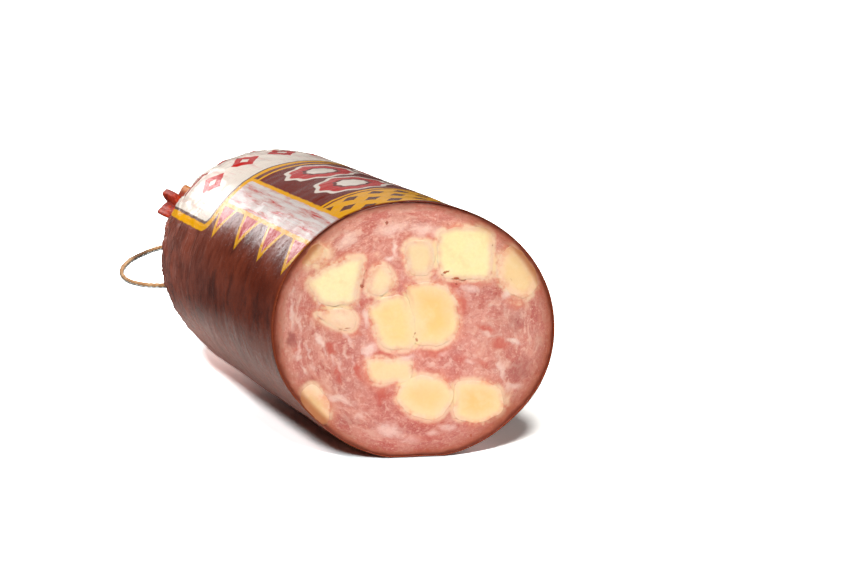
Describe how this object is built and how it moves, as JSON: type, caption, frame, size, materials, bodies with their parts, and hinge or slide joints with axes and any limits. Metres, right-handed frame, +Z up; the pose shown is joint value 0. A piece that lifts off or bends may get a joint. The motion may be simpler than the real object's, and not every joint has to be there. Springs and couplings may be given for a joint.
{
  "type": "cheese sausage",
  "caption": "Thick cooked sausage in a printed casing, cut askew at one end to show cheese cubes in pink meat, gathered and clipped at the other with a twine loop.",
  "frame": {"origin": "middle of the underside of the sausage's own box, on the surface it lies on, without the twine", "axes": "+Z up, +Y along the sausage from the cut face to the clipped end, +X to the right as the cut is faced"},
  "size_m": [0.0917, 0.303, 0.0682],
  "materials": {
    "casing": "thin red-brown smoked sausage casing with a coloured print, satin gloss",
    "meat": "moist cut face of cooked pink sausage meat with pale fat and red lean",
    "cheese": "pale yellow cheese, waxy and slightly see-through at the edges",
    "clip": "soft pressed aluminium wire",
    "twine": "tan twisted twine with a stained stretch"
  },
  "bodies": {
    "root": {"casing": "casing", "meat": "meat", "cheese_top_right": "cheese", "cheese_top_middle": "cheese", "cheese_left": "cheese", "cheese_small": "cheese", "cheese_middle_left": "cheese", "cheese_middle_right": "cheese", "cheese_right_edge": "cheese", "cheese_left_slab": "cheese", "cheese_lower_small": "cheese", "cheese_bottom_middle": "cheese", "cheese_bottom_right": "cheese", "cheese_lower_left": "cheese", "cheese_upper_left": "cheese", "clip": "clip", "twine": "twine"}
  },
  "joints": []
}
